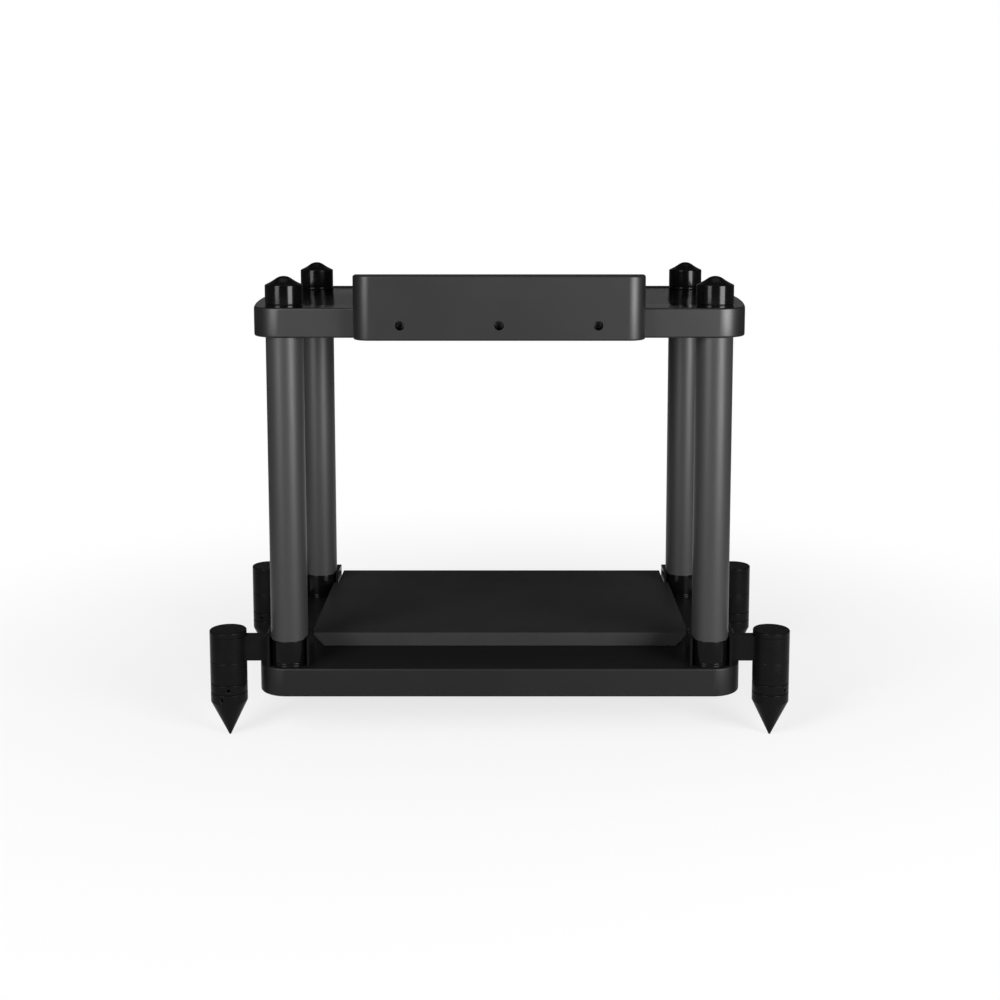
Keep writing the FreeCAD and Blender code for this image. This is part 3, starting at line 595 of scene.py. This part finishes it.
def cap_profile(radius, height):
    """A bell: a groove just above the board, an upright wall, a sloping shoulder and a round crown.
    The rod's thread ends in a blind hole underneath."""
    hole, chamfer, wall_top = 18 * MM, 0.6 * MM, 21 * MM
    waist = radius - 0.7 * MM
    sphere, crown_r = 13.5 * MM, 8.6 * MM
    t = np.linspace(math.asin(crown_r / sphere), 0, 12)
    crown = np.stack([sphere * np.sin(t), height - sphere * (1 - np.cos(t))], 1)
    wall = [
        (0, hole), (ROD_RADIUS, hole), (ROD_RADIUS, 0), (radius - chamfer, 0), (radius, chamfer),
        (radius, 2.1 * MM), (waist, 2.5 * MM), (waist, 3 * MM), (radius, 3.7 * MM), (radius, wall_top),
    ]
    bend = [(radius, wall_top), (radius, 22.6 * MM), (12.8 * MM, 25.7 * MM), crown[0]]
    shoulder = eased(bend, 2.2 * MM, 8)[1:-1]
    return np.concatenate([wall, shoulder, crown])


gloss = (gloss_metal, "gloss_black_metal")
satin = (satin_metal, "satin_black_metal")
for corner in CORNERS:
    _, radius = axis_of(corner + "_post_tube")
    bore = radius - TUBE_WALL
    low, high = span(corner + "_post_tube")
    long = float(high[2] - low[2])
    tube = [(bore, 0), (radius, 0), (radius, long), (bore, long)]
    turned_piece(corner + "_post", corner + "_post_tube", tube, post_satin, "post_satin")
    collar = collar_profile(radius, COLLAR_HEIGHT)
    turned_piece(corner + "_collar", corner + "_post_collar", collar, *gloss, ease=0.3 * MM)
    cap = cap_profile(radius, CAP_HEIGHT)
    turned_piece(corner + "_cap", corner + "_cap_nut", cap, *gloss, ease=0.5 * MM)
print("posts done")

# %% [markdown]
# ## Outriggers
# An outrigger is one machined piece: an open yoke round the collar, a flat arm, and a round barrel.
# Each of the three is an outline carried straight up, and booleans join them, as the mill leaves them joined.
# A small bevel then runs along every sharp edge.

# %% Outriggers
def prism(outline, low_z, high_z):
    """An outline of (x, y) pairs, anticlockwise, carried straight up."""
    outline = np.asarray(outline, float)
    rings = np.stack([np.column_stack([outline, np.full(len(outline), z)]) for z in (low_z, high_z)])
    return stack_mesh(rings)


def unite(piece, others):
    """Joins closed meshes to a piece with exact booleans."""
    for points, faces in others:
        boolean(piece, points, faces, "UNION")


def yoke_outline(centre, half, front, back, bay, wall_steps=40):
    """A U seen from above, open at the front: the outer corners, then the half circle of the seat."""
    t = np.linspace(0, np.pi, wall_steps)
    seat = np.stack([bay * np.cos(t), bay * np.sin(t)], 1)
    outer = [(-bay, -front), (-half, -front), (-half, back), (half, back), (half, -front), (bay, -front)]
    return (np.concatenate([np.array(outer), seat]) + centre)[::-1]


YOKE_HALF, YOKE_FRONT, YOKE_BACK, YOKE_PLAY = 21.75 * MM, 13 * MM, 25 * MM, 0.25 * MM
ARM_START, ARM_HALF, ARM_END = 21.5 * MM, 6 * MM, 2 * MM  # the arm ends inside the yoke and the barrel
SPIGOT, SPIGOT_RADIUS = 8 * MM, 10 * MM
BORE_PAST = 1 * MM

for corner, post, foot in zip(CORNERS, POSTS, FEET):
    _, post_radius = axis_of(corner + "_post_tube")
    _, foot_radius = axis_of(corner + "_foot_sleeve")
    out_low, out_high = span(corner + "_outrigger")
    top_z = float(out_high[2])
    arm_low = float(span(corner + "_foot_sleeve")[1][2]) - SPIGOT
    outline = yoke_outline(post, YOKE_HALF, YOKE_FRONT, YOKE_BACK, post_radius + YOKE_PLAY)
    points, faces = prism(outline, out_low[2], out_high[2])
    piece = make_piece(corner + "_bracket", points, faces, *satin, STAND)
    side = 1 if foot[0] > post[0] else -1
    inner, outer = sorted((post[0] + side * ARM_START, foot[0] - side * ARM_END))
    front_y, back_y = post[1] - ARM_HALF, post[1] + ARM_HALF
    arm = prism([(inner, front_y), (outer, front_y), (outer, back_y), (inner, back_y)], arm_low, out_high[2])
    barrel = stack_mesh(turned([(foot_radius, arm_low), (foot_radius, top_z)], foot, 96))
    unite(piece, [arm, barrel])
    bore = [(SPIGOT_RADIUS, arm_low - BORE_PAST), (SPIGOT_RADIUS, top_z + BORE_PAST)]
    drill(piece, [stack_mesh(turned(bore, foot, 96))])
    bevel(piece, 0.4 * MM, 2)
    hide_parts(corner + "_outrigger")
print("outriggers done")

# %% [markdown]
# ## Feet
# A foot is a stack of turned pieces: a lid and a sleeve above and below the barrel, a ring, and a spike
# whose shank goes up through all of them. The ring and the spike move, so each rides on its own body.
# A tommy bar turns ring or spike by a small hole. The directions of the holes are those of the packed
# model, and no two feet stand alike.

# %% Profiles of the feet
SHANK_RADIUS, SHANK_BORE = 7 * MM, 7.05 * MM
CHAMFER = 0.4 * MM
RING_HEIGHT = 9.9 * MM
SPIKE_CONE, SPIKE_HEAD, SPIKE_TOP = 37.5 * MM, 47.3 * MM, 98.3 * MM


def lid_profile(radius):
    """A cap with a spigot below that fits the barrel, and a wider chamfer on top than below."""
    spigot, height, rim = 4.5 * MM, 10.5 * MM, 0.8 * MM
    return [
        (0, 0), (SPIGOT_RADIUS, 0), (SPIGOT_RADIUS, spigot), (radius - CHAMFER, spigot),
        (radius, spigot + CHAMFER), (radius, height - rim), (radius - rim, height), (0, height),
    ]


def sleeve_profile(radius):
    """A wall with a chamfer at each end and a spigot above, bored for the spike's shank."""
    wall = 23.2 * MM
    return [
        (SHANK_BORE, 0), (radius - CHAMFER, 0), (radius, CHAMFER), (radius, wall - CHAMFER),
        (radius - CHAMFER, wall), (SPIGOT_RADIUS, wall),
        (SPIGOT_RADIUS, wall + SPIGOT), (SHANK_BORE, wall + SPIGOT),
    ]


def ring_profile(radius):
    """A plain ring with a chamfer at each end, bored for the shank."""
    return [
        (SHANK_BORE, 0), (radius - CHAMFER, 0), (radius, CHAMFER), (radius, RING_HEIGHT - CHAMFER),
        (radius - CHAMFER, RING_HEIGHT), (SHANK_BORE, RING_HEIGHT),
    ]


def spike_profile(radius):
    """A blunt point, a cone, a round head, and a shank with a chamfered end."""
    point, end = 0.75 * MM, 0.6 * MM
    return [
        (0, 0), (point, 0), (radius, SPIKE_CONE),
        (radius, SPIKE_HEAD - CHAMFER), (radius - CHAMFER, SPIKE_HEAD), (SHANK_RADIUS, SPIKE_HEAD),
        (SHANK_RADIUS, SPIKE_TOP - end), (SHANK_RADIUS - end, SPIKE_TOP), (0, SPIKE_TOP),
    ]


# %% Turned pieces of the feet
TOMMY_RADIUS, TOMMY_DEPTH = 1.75 * MM, 6 * MM
TOMMY = {
    "front_left": (9.0, -14.0), "front_right": (42.0, 125.0),
    "rear_left": (-20.0, 160.0), "rear_right": (100.0, -150.0),
}
PIN_RADIUS, PIN_DRILL = 2 * MM, 16 * MM
SLOT_HALF, SLOT_NEAR, SLOT_FAR, TRAVEL = 2.1 * MM, 4.5 * MM, 8 * MM, 10 * MM


def tommy_bar(centre, angle, z, radius):
    """A bar that cuts a blind hole in a round wall, facing angle degrees round from the front towards +X."""
    a = math.radians(angle)
    inward = np.array([-math.sin(a), math.cos(a), 0.0])
    start = np.array([centre[0], centre[1], z]) - inward * (radius + DRILL_BEFORE)
    return bar_mesh(start, inward, TOMMY_RADIUS, TOMMY_DEPTH + DRILL_BEFORE, 32)


guide_z = float(span("guide_screws")[0][2]) + PIN_RADIUS
for corner, centre in zip(CORNERS, FEET):
    _, radius = axis_of(corner + "_foot_sleeve")
    ring_angle, spike_angle = TOMMY[corner]
    turned_piece(corner + "_lid", corner + "_foot_cap", lid_profile(radius), *satin)
    sleeve = turned_piece(corner + "_sleeve", corner + "_foot_sleeve", sleeve_profile(radius), *satin)
    behind = (centre[0], centre[1] + radius + BORE_PAST, guide_z)
    drill(sleeve, [bar_mesh(behind, (0, -1, 0), PIN_RADIUS, PIN_DRILL, 32)])
    ring_body = corner + "_ring"
    ring = turned_piece(ring_body, corner + "_jack_ring", ring_profile(radius), *satin, ring_body)
    ring_z = float(span(corner + "_jack_ring")[0][2]) + RING_HEIGHT / 2
    drill(ring, [tommy_bar(centre, ring_angle, ring_z, radius)])
    spike = spike_profile(radius)
    point = turned_piece(corner + "_point", corner + "_spike", spike, *satin, corner + "_foot_spike")
    near, far = centre[1] + SLOT_NEAR, centre[1] + SLOT_FAR
    left_x, right_x = centre[0] - SLOT_HALF, centre[0] + SLOT_HALF
    slot_outline = [(left_x, near), (right_x, near), (right_x, far), (left_x, far)]
    slot = prism(slot_outline, guide_z - SLOT_HALF, guide_z + SLOT_HALF + TRAVEL)
    drill(point, [tommy_bar(centre, spike_angle, (SPIKE_CONE + SPIKE_HEAD) / 2, radius), slot])
print("feet done")

# %% [markdown]
# ## Rods and fasteners
# Kinds of which there are several are one node each, so one piece holds all the copies.
# A hexagon is drawn with as many points as a circle, so sockets and nuts are stacks of rings as well.

# %% Kit of fastener shapes
CAP_HEAD_RADIUS, CAP_HEAD_HEIGHT, CAP_THREAD_RADIUS, CAP_SOCKET = 4.25 * MM, 5 * MM, 2.5 * MM, 4 * MM


def ring_stack(steps, around=48, hollow=False):
    """A stack about the Z axis from (size, height) pairs, or (across flats, height, 6) where it is a hexagon.
    A hexagon reaches half its width across flats, over the cosine of the angle from a flat's middle."""
    angle = np.linspace(0, 2 * np.pi, around, endpoint=False)
    rings = []
    for size, height, *sides in steps:
        reach = size / 2 / np.cos(angle % (np.pi / 3) - np.pi / 6) if sides else np.full(around, size)
        rings.append(np.column_stack([reach * np.cos(angle), reach * np.sin(angle), np.full(around, height)]))
    return stack_mesh(np.stack(rings), hollow)


def aimed(part, direction):
    """A part drawn along +Z turned to a direction."""
    turn = np.array(Vector((0, 0, 1)).rotation_difference(Vector(direction)).to_matrix())
    return part[0] @ turn.T, part[1]


def socket_screw(length):
    """A cap screw: the underside of its head at the origin, its shank along -Z, a hexagon socket on top."""
    head, height, radius, edge = CAP_HEAD_RADIUS, CAP_HEAD_HEIGHT, CAP_THREAD_RADIUS, 0.4 * MM
    floor = height * 0.4
    return ring_stack([
        (0, -length), (radius - edge, -length), (radius, edge - length), (radius, 0), (head, 0),
        (head, height - edge), (head - edge, height), (CAP_SOCKET, height, 6), (CAP_SOCKET, floor, 6),
    ])


def washer_steps(bore, radius, thick):
    """Inner and outer wall of a flat ring, for a hollow stack."""
    return [(bore, 0), (radius, 0), (radius, thick), (bore, thick)]


def copies(name, node, part, places, material, slot):
    """Copies of one part at several places, as the piece that stands in for their node."""
    points, faces = join_meshes([(part[0] + np.array(place), part[1]) for place in places])
    piece = make_piece(name, points, faces, material, slot, STAND)
    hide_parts(node)
    print(name, "copies", len(places))


# %% Rods and fasteners
for corner in CORNERS:
    low, high = span(corner + "_tie_rod")
    long = float(high[2] - low[2])
    rod = [(0, 0), (ROD_RADIUS, 0), (ROD_RADIUS, long), (0, long)]
    turned_piece(corner + "_rod", corner + "_tie_rod", rod, zinc, "zinc_steel")

low, high = span("block_screws")
middle_z, seat_y = (low[2] + high[2]) / 2, low[1] + CAP_HEAD_HEIGHT
screw = aimed(socket_screw(float(high[1] - seat_y)), (0, -1, 0))
screw_x = (low[0] + CAP_HEAD_RADIUS, 0.0, high[0] - CAP_HEAD_RADIUS)
places = [(x, seat_y, middle_z) for x in screw_x]
copies("block_bolts", "block_screws", screw, places, screw_black, "black_screw")

INSERT_RADIUS, INSERT_LENGTH = 4 * MM, 14 * MM
low, high = span("block_inserts")
insert = ring_stack(washer_steps(CAP_THREAD_RADIUS, INSERT_RADIUS, INSERT_LENGTH), hollow=True)
places = [(x, low[1], middle_z) for x in screw_x]
copies("block_sockets", "block_inserts", aimed(insert, (0, 1, 0)), places, brass, "insert_brass")

WASHER_RADIUS, WASHER_THICK = 10 * MM, 1.6 * MM
low, high = span("rod_washers")
washer = ring_stack(washer_steps(ROD_BORE, WASHER_RADIUS, WASHER_THICK), 96, True)
copies("washers", "rod_washers", washer, [(x, y, low[2]) for x, y in POSTS], zinc, "zinc_steel")

NUT_ACROSS, NUT_FACE_RADIUS, NUT_CHAMFER, NUT_HEIGHT = 13 * MM, 6.1 * MM, 0.4 * MM, 6.5 * MM
low, high = span("rod_nuts")
nut = ring_stack([
    (ROD_RADIUS, 0), (NUT_FACE_RADIUS, 0), (NUT_ACROSS, NUT_CHAMFER, 6),
    (NUT_ACROSS, NUT_HEIGHT, 6), (ROD_RADIUS, NUT_HEIGHT),
], 96, True)
copies("nuts", "rod_nuts", nut, [(x, y, low[2]) for x, y in POSTS], zinc, "zinc_steel")

low, high = span("clamp_screws")
screw = aimed(socket_screw(18 * MM), (0, 1, 0))
heights = (low[2] + CAP_HEAD_RADIUS, high[2] - CAP_HEAD_RADIUS)
places = [(x, y + YOKE_BACK, z) for x, y in POSTS for z in heights]
copies("clamp_bolts", "clamp_screws", screw, places, screw_black, "black_screw")

PIN_LENGTH, PIN_CHAMFER, PIN_FROM_AXIS = 13.7 * MM, 0.3 * MM, 4.8 * MM
low, high = span("guide_screws")
pin = ring_stack([
    (0, 0), (PIN_RADIUS - PIN_CHAMFER, 0), (PIN_RADIUS, PIN_CHAMFER),
    (PIN_RADIUS, PIN_LENGTH - PIN_CHAMFER), (PIN_RADIUS - PIN_CHAMFER, PIN_LENGTH), (0, PIN_LENGTH),
])
places = [(x, y + PIN_FROM_AXIS, (low[2] + high[2]) / 2) for x, y in FEET]
copies("guide_pins", "guide_screws", aimed(pin, (0, 1, 0)), places, screw_black, "black_screw")

FIXING_RADIUS = 2 * MM
low, high = span("shelf_screws")
long = float(high[2] - low[2])
fixing = ring_stack([(0, 0), (SINK, 0), (FIXING_RADIUS, SINK), (FIXING_RADIUS, long), (0, long)])
places = [(x, y, low[2]) for x, y in inside_corners("shelf_screws", SINK)]
copies("shelf_fixings", "shelf_screws", fixing, places, zinc, "zinc_steel")
print("fasteners done")

# %% [markdown]
# ## Stage, light and camera
# The floor is a plain pale sheet. A tall soft light stands to the left of the camera and a lower one to the
# right, and their reflections draw the upright lines on posts and caps. A wide overhead light fills the tops.

# %% Floor and world
def rays_that_see_background(tree):
    """1 for camera, glossy and transmission rays, which all show the white background, and 0 for the rest."""
    rays = tree.nodes.new("ShaderNodeLightPath")
    total = rays.outputs["Is Camera Ray"]
    for kind in ("Is Glossy Ray", "Is Transmission Ray"):
        larger = tree.nodes.new("ShaderNodeMath")
        larger.operation = "MAXIMUM"
        tree.links.new(total, larger.inputs[0])
        tree.links.new(rays.outputs[kind], larger.inputs[1])
        total = larger.outputs[0]
    return total


def stage_mesh(name, points, faces, material):
    """A mesh of the set, which isn't part of the stand."""
    mesh = bpy.data.meshes.new(name)
    mesh.from_pydata([tuple(map(float, p)) for p in points], [], faces)
    mesh.materials.append(material)
    obj = bpy.data.objects.new(name, mesh)
    bpy.context.scene.collection.objects.link(obj)
    return obj


def floor_paper():
    """White paper near the stand, which takes its shadow; farther out it becomes the even background."""
    material, tree, shader = new_finish("floor_paper", (0.45, 0.45, 0.45), roughness=0.9, specular=0.1)
    place = tree.nodes.new("ShaderNodeTexCoord")
    distance = tree.nodes.new("ShaderNodeVectorMath")
    distance.operation = "LENGTH"
    tree.links.new(place.outputs["Object"], distance.inputs[0])
    fade = tree.nodes.new("ShaderNodeMapRange")
    fade.interpolation_type = "SMOOTHSTEP"
    fade.inputs["From Min"].default_value = 0.25
    fade.inputs["From Max"].default_value = 1.0
    fade.inputs["To Min"].default_value = 0.75
    tree.links.new(distance.outputs["Value"], fade.inputs["Value"])
    seen = tree.nodes.new("ShaderNodeMath")
    seen.operation = "MULTIPLY"
    tree.links.new(fade.outputs["Result"], seen.inputs[0])
    tree.links.new(rays_that_see_background(tree), seen.inputs[1])
    glow = tree.nodes.new("ShaderNodeEmission")
    mix = tree.nodes.new("ShaderNodeMixShader")
    tree.links.new(seen.outputs[0], mix.inputs[0])
    tree.links.new(shader.outputs[0], mix.inputs[1])
    tree.links.new(glow.outputs[0], mix.inputs[2])
    tree.links.new(mix.outputs[0], tree.nodes["Material Output"].inputs["Surface"])
    return material


FLOOR_HALF = 30.0
floor_corners = [(x * FLOOR_HALF, y * FLOOR_HALF, 0) for x, y in ((-1, -1), (1, -1), (1, 1), (-1, 1))]
stage_mesh("floor", floor_corners, [(0, 1, 2, 3)], floor_paper())

world = bpy.data.worlds.new("studio")
bpy.context.scene.world = world
world.use_nodes = True
tree = world.node_tree
tree.nodes.clear()
dim = tree.nodes.new("ShaderNodeBackground")
dim.inputs["Color"].default_value = (0.8, 0.8, 0.8, 1)
dim.inputs["Strength"].default_value = 0.6
white = tree.nodes.new("ShaderNodeBackground")
white.inputs["Color"].default_value = (1, 1, 1, 1)
mix = tree.nodes.new("ShaderNodeMixShader")
out = tree.nodes.new("ShaderNodeOutputWorld")
tree.links.new(rays_that_see_background(tree), mix.inputs[0])
tree.links.new(dim.outputs[0], mix.inputs[1])
tree.links.new(white.outputs[0], mix.inputs[2])
tree.links.new(mix.outputs[0], out.inputs[0])

# %% [markdown]
# A black thing is photographed among black cards, or its gloss would show the pale room.
# A ring of card with a lid stands round the set, and the lamps hang inside it. Two more cards stand beside
# the stand. The camera doesn't see them and they cast no shadow, so only reflections show them.

# %% Black cards round the set
RING_RADIUS, RING_SIDES, RING_LOW, RING_HIGH = 3.2, 32, 0.02, 2.9
CARD_LOW, CARD_HIGH = 0.004, 1.3
CARD_FOOT = ((0.68, -0.35), (0.68, 0.1), (1.3, 1.9))  # x and y of its three uprights, seen from above

card_black, _, _ = new_finish("card_black", (0.12, 0.12, 0.12), roughness=0.9, specular=0.1)
points = np.concatenate([circle((0, 0), RING_RADIUS, z, RING_SIDES) for z in (RING_LOW, RING_HIGH)])
i = np.arange(RING_SIDES)
j = (i + 1) % RING_SIDES
walls = np.stack([i, j, j + RING_SIDES, i + RING_SIDES], 1).tolist()
lid = list(range(RING_SIDES, 2 * RING_SIDES))
cards = [stage_mesh("black_ring", points, walls + [lid], card_black)]
for side in (-1, 1):
    points = [(side * x, y, z) for z in (CARD_LOW, CARD_HIGH) for x, y in CARD_FOOT]
    cards.append(stage_mesh("side_card", points, [(0, 1, 4, 3), (1, 2, 5, 4)], card_black))
for card in cards:
    card.visible_camera = False
    card.visible_shadow = False

# %% Lamps
def soft_light(name, place, target, width, height, power):
    """An area light of that size in metres, turned to face a target."""
    data = bpy.data.lights.new(name, "AREA")
    data.shape = "RECTANGLE"
    data.size, data.size_y, data.energy = width, height, power
    lamp = bpy.data.objects.new(name, data)
    lamp.location = place
    lamp.rotation_euler = (Vector(target) - Vector(place)).to_track_quat("-Z", "Y").to_euler()
    bpy.context.scene.collection.objects.link(lamp)
    return lamp


def round_from_front(angle, distance, height):
    """A place on a circle about the stand, angle degrees round from the front towards +X."""
    a = math.radians(angle)
    return (distance * math.sin(a), -distance * math.cos(a), height)


left_place = round_from_front(-35.4, 2.05, 1.15)
right_place = round_from_front(40.6, 2.02, 0.55)
soft_light("left_box", left_place, target=(0, 0, 0.6), width=0.85, height=2.2, power=100)
soft_light("right_box", right_place, target=(0, 0, 0.35), width=0.95, height=1.0, power=106)
soft_light("overhead", (0, -0.2, 2.4), target=(0, 0, 0), width=2.4, height=2.0, power=10)

# %% Camera
TILT_DOWN = 6.5465
camera_data = bpy.data.cameras.new("camera")
camera_data.sensor_width = 36.0
camera_data.lens = 52.614
camera_data.shift_x = -0.0104
camera_data.shift_y = -0.15
camera = bpy.data.objects.new("camera", camera_data)
camera.location = (0.0111, -1.5995, 0.5735)
camera.rotation_euler = (math.radians(90 - TILT_DOWN), 0, 0)
bpy.context.scene.collection.objects.link(camera)
bpy.context.scene.camera = camera
bpy.context.scene.view_settings.view_transform = "Standard"
